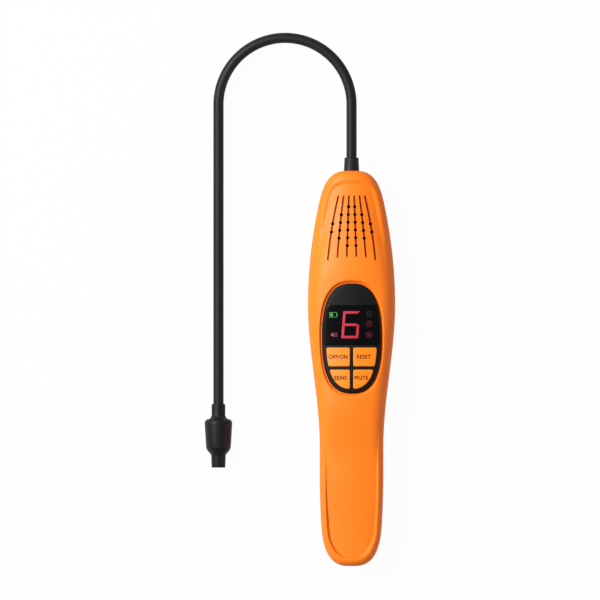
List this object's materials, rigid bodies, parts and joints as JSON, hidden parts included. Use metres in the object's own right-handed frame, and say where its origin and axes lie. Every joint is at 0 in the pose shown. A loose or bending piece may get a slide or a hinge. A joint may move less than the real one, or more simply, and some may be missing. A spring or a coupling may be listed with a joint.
{
  "type": "refrigerant leak detector",
  "caption": "Hand-held gas leak detector: waisted housing with a display, keys and speaker grille, and a bent gooseneck that carries a sensing probe.",
  "frame": {"origin": "centre of the flat back at half the housing's length, on the surface the part lies on", "axes": "+Z leaves the face, +Y points to the neck, +X to the right of someone facing the display"},
  "size_m": [0.1109, 0.3104, 0.0326],
  "materials": {
    "orange_shell": "satin moulded orange plastic",
    "key_orange": "satin orange key caps",
    "panel_black": "matt black panel",
    "window_black": "glossy smoked window",
    "collar_black": "matt black collar",
    "sheath_black": "satin black sheath",
    "probe_black": "satin black probe",
    "steel": "zinc-plated screws and ferrule",
    "core_steel": "wound steel core",
    "board_green": "circuit board",
    "black_part": "moulded electronic parts",
    "socket_ivory": "ivory connector",
    "led_clear": "indicator lamps",
    "contact_nickel": "nickel-plated contacts",
    "cell_wrap": "sleeved battery cells",
    "cable_skin": "cable skin",
    "seal_rubber": "sealing ring",
    "sensor_can": "sensor can",
    "filter_felt": "pressed filter disc"
  },
  "bodies": {
    "handset": {"front_housing": "orange_shell", "rear_housing": "orange_shell", "housing_screws": "steel", "control_panel": "panel_black", "display_window": "window_black", "power_switch": "black_part", "reset_switch": "black_part", "sensitivity_switch": "black_part", "mute_switch": "black_part", "main_board": "board_green", "board_screws": "steel", "led_display": "black_part", "indicator_leds": "led_clear", "control_chip": "black_part", "cable_socket": "socket_ivory", "buzzer": "black_part", "battery_1": "cell_wrap", "battery_2": "cell_wrap", "battery_3": "cell_wrap", "battery_4": "cell_wrap", "contact_plates": "contact_nickel", "contact_springs": "contact_nickel", "gooseneck_collar": "collar_black", "gooseneck_anchor": "steel", "gooseneck_sheath": "sheath_black", "gooseneck_core": "core_steel", "sensor_cable": "cable_skin", "probe_holder": "probe_black", "probe_seal": "seal_rubber", "sensor_socket": "black_part", "sensor_element": "sensor_can"},
    "power": {"power_key": "key_orange", "power_plunger": "black_part"},
    "reset": {"reset_key": "key_orange", "reset_plunger": "black_part"},
    "sensitivity": {"sensitivity_key": "key_orange", "sensitivity_plunger": "black_part"},
    "mute": {"mute_key": "key_orange", "mute_plunger": "black_part"},
    "door": {"battery_door": "orange_shell"},
    "cap": {"probe_cap": "probe_black", "filter_disc": "filter_felt"}
  },
  "joints": [
    {"name": "power_press", "type": "slide", "parent": "handset", "child": "power", "axis": [0, 0, -1], "range_m": [0, 0.0005], "stiffness_N_per_m": 600, "springref_m": -0.0002},
    {"name": "reset_press", "type": "slide", "parent": "handset", "child": "reset", "axis": [0, 0, -1], "range_m": [0, 0.0005], "stiffness_N_per_m": 600, "springref_m": -0.0002},
    {"name": "sensitivity_press", "type": "slide", "parent": "handset", "child": "sensitivity", "axis": [0, 0, -1], "range_m": [0, 0.0005], "stiffness_N_per_m": 600, "springref_m": -0.0002},
    {"name": "mute_press", "type": "slide", "parent": "handset", "child": "mute", "axis": [0, 0, -1], "range_m": [0, 0.0005], "stiffness_N_per_m": 600, "springref_m": -0.0002},
    {"name": "door_slide", "type": "slide", "parent": "handset", "child": "door", "axis": [0, -1, 0], "range_m": [0, 0.009]},
    {"name": "cap_pull", "type": "slide", "parent": "handset", "child": "cap", "axis": [0, -1, 0], "range_m": [0, 0.018]}
  ]
}
